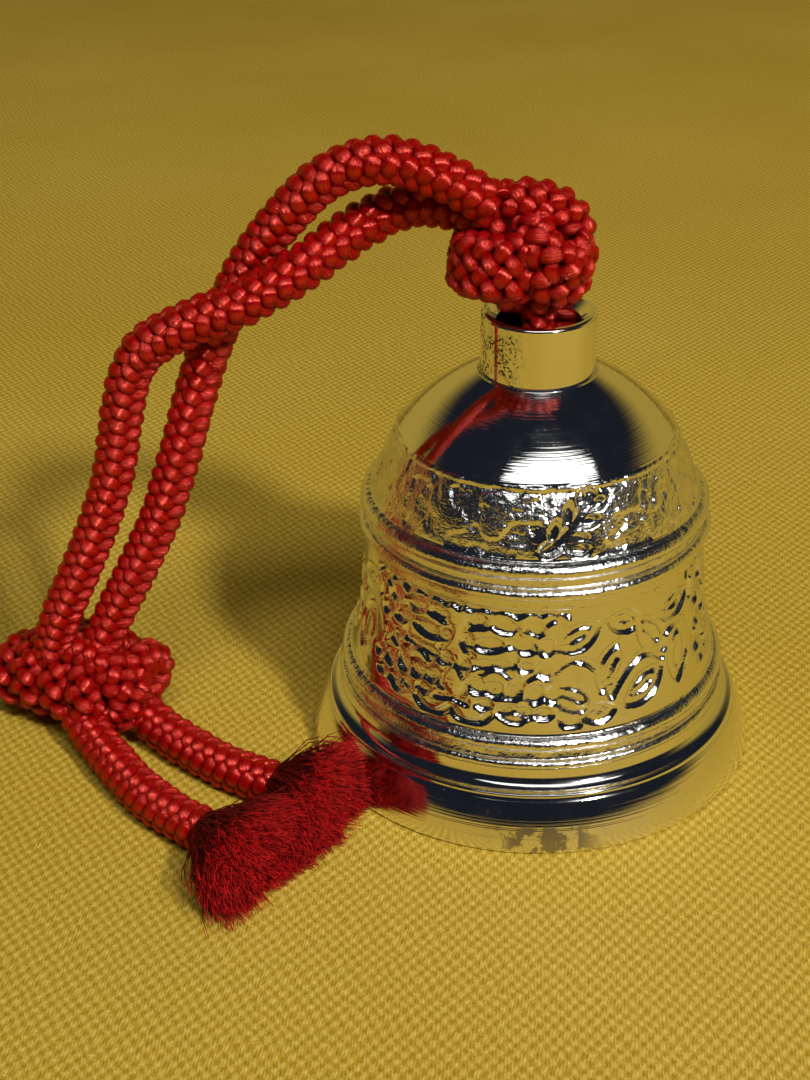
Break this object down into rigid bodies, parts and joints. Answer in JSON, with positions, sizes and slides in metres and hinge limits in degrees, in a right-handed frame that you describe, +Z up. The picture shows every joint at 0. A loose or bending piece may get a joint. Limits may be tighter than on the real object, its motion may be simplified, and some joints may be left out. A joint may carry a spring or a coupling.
{
  "type": "hand bell",
  "caption": "Small cast hand bell with a clapper inside, relief bands, a turned neck collar and a doubled braided cord knotted at both ends, with frayed tassels.",
  "frame": {"origin": "centre of the bell's mouth, on the surface that it stands on", "axes": "+Z up along the bell's axis; the cord falls away towards -X"},
  "size_m": [0.1163, 0.0846, 0.0914],
  "materials": {
    "polished_chrome": "bright nickel-chrome plate, polished on the dome and foot, cast texture in the bands",
    "collar_chrome": "bright turned and plated tube with small pits",
    "steel_wire": "drawn wire",
    "clapper_brass": "turned",
    "red_cord": "glossy rayon braid",
    "red_tassel": "frayed rayon yarn, matt"
  },
  "bodies": {
    "bell": {"bell_body": "polished_chrome", "neck_collar": "collar_chrome"},
    "cord": {"upper_knot": "red_cord", "cord_bight": "red_cord", "cord_strand_a": "red_cord", "cord_strand_b": "red_cord", "lower_knot": "red_cord", "cord_tail_a": "red_cord", "cord_tail_b": "red_cord", "tassel_a": "red_tassel", "tassel_b": "red_tassel"},
    "ring": {"hanger_ring": "steel_wire"},
    "clapper": {"clapper_rod": "steel_wire", "clapper_ball": "clapper_brass"}
  },
  "joints": [
    {"name": "cord_swivel", "type": "hinge", "parent": "bell", "child": "cord", "pos_m": [0, 0, 0.0671], "axis": [0, 0, 1], "continuous": true},
    {"name": "ring_rock", "type": "hinge", "parent": "cord", "child": "ring", "pos_m": [0, 0, 0.053], "axis": [1, 0, 0], "range_deg": [-7, 7]},
    {"name": "clapper_swing", "type": "hinge", "parent": "ring", "child": "clapper", "pos_m": [0, 0, 0.0476], "axis": [0, 1, 0], "range_deg": [-28, 28]}
  ]
}
